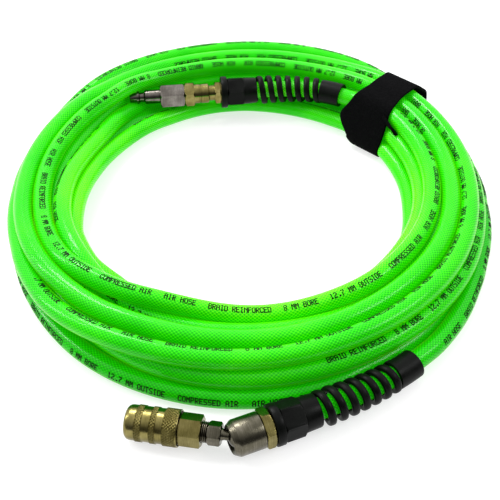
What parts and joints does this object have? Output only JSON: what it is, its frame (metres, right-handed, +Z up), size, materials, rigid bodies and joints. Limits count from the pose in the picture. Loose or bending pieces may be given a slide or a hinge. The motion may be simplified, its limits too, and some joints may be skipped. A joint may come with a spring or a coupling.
{
  "type": "coiled air hose",
  "caption": "Reinforced air hose wound flat into a round coil, tied with a hook-and-loop strap, with a ball-swivel quick coupler and a swivel plug.",
  "frame": {"origin": "middle of the whole object's footprint, on the surface the coil lies on", "axes": "+Z up out of the flat coil, -Y towards the coupler, +X towards the strap's side"},
  "size_m": [0.344, 0.399, 0.0433],
  "materials": {
    "hose_jacket": "gloss",
    "strap": "matte",
    "relief": "satin",
    "brass": "machined",
    "nickel": "turned",
    "steel": "satin",
    "rubber": "matte",
    "inner_plastic": "satin"
  },
  "bodies": {
    "hose": {"hose_coil": "hose_jacket", "coupler_lead": "hose_jacket", "plug_lead": "hose_jacket", "strap_band": "strap", "strap_hook_tab": "strap", "coupler_relief_nut": "relief", "coupler_collet": "inner_plastic", "plug_relief_nut": "relief", "plug_collet": "inner_plastic", "coupler_hose_stem": "brass", "swivel_housing": "nickel", "plug_hose_stem": "brass", "swivel_o_ring": "rubber", "swivel_snap_ring": "steel"},
    "ball_seat": {"ball_seat": "inner_plastic"},
    "coupler": {"swivel_stem": "nickel", "coupler_socket": "brass", "coupler_adapter": "brass", "sleeve_stop_ring": "steel", "sleeve_spring": "steel", "valve_spring": "steel", "plug_seal": "rubber", "valve_guide": "brass"},
    "sleeve": {"coupler_sleeve": "brass"},
    "locking_ball_1": {"locking_ball_1": "steel"},
    "locking_ball_2": {"locking_ball_2": "steel"},
    "locking_ball_3": {"locking_ball_3": "steel"},
    "locking_ball_4": {"locking_ball_4": "steel"},
    "locking_ball_5": {"locking_ball_5": "steel"},
    "locking_ball_6": {"locking_ball_6": "steel"},
    "valve": {"valve_poppet": "inner_plastic"},
    "plug": {"swivel_barrel": "brass", "air_plug": "steel"}
  },
  "joints": [
    {"name": "seat_spin", "type": "hinge", "parent": "hose", "child": "ball_seat", "pos_m": [-0.00334, -0.18849, 0.0127], "axis": [0.9239, 0.3827, 0], "continuous": true},
    {"name": "coupler_tilt", "type": "hinge", "parent": "ball_seat", "child": "coupler", "pos_m": [-0.00334, -0.18849, 0.0127], "axis": [0, 0, 1], "range_deg": [0, 66]},
    {"name": "sleeve_slide", "type": "slide", "parent": "coupler", "child": "sleeve", "axis": [0.9823, -0.1838, 0.0349], "range_m": [0, 0.0035], "stiffness_N_per_m": 1500, "springref_m": -0.004, "deforming": ["sleeve_spring"]},
    {"name": "locking_ball_1_out", "type": "slide", "parent": "coupler", "child": "locking_ball_1", "axis": [0.184, 0.9829, 0], "range_m": [0, 0.0012]},
    {"name": "locking_ball_2_out", "type": "slide", "parent": "coupler", "child": "locking_ball_2", "axis": [0.0623, 0.497, 0.8655], "range_m": [0, 0.0012]},
    {"name": "locking_ball_3_out", "type": "slide", "parent": "coupler", "child": "locking_ball_3", "axis": [-0.1217, -0.4859, 0.8655], "range_m": [0, 0.0012]},
    {"name": "locking_ball_4_out", "type": "slide", "parent": "coupler", "child": "locking_ball_4", "axis": [-0.184, -0.9829, 0], "range_m": [0, 0.0012]},
    {"name": "locking_ball_5_out", "type": "slide", "parent": "coupler", "child": "locking_ball_5", "axis": [-0.0623, -0.497, -0.8655], "range_m": [0, 0.0012]},
    {"name": "locking_ball_6_out", "type": "slide", "parent": "coupler", "child": "locking_ball_6", "axis": [0.1217, 0.4859, -0.8655], "range_m": [0, 0.0012]},
    {"name": "valve_slide", "type": "slide", "parent": "coupler", "child": "valve", "axis": [0.9823, -0.1838, 0.0349], "range_m": [0, 0.0012], "stiffness_N_per_m": 800, "springref_m": -0.003, "deforming": ["valve_spring"]},
    {"name": "plug_spin", "type": "hinge", "parent": "hose", "child": "plug", "pos_m": [-0.05101, 0.13076, 0.024], "axis": [0.9936, 0.1132, 0], "continuous": true}
  ],
  "couplings": [
    {"joint": "locking_ball_1_out", "follows": "sleeve_slide", "ratio": 0.33},
    {"joint": "locking_ball_2_out", "follows": "sleeve_slide", "ratio": 0.33},
    {"joint": "locking_ball_3_out", "follows": "sleeve_slide", "ratio": 0.33},
    {"joint": "locking_ball_4_out", "follows": "sleeve_slide", "ratio": 0.33},
    {"joint": "locking_ball_5_out", "follows": "sleeve_slide", "ratio": 0.33},
    {"joint": "locking_ball_6_out", "follows": "sleeve_slide", "ratio": 0.33}
  ]
}
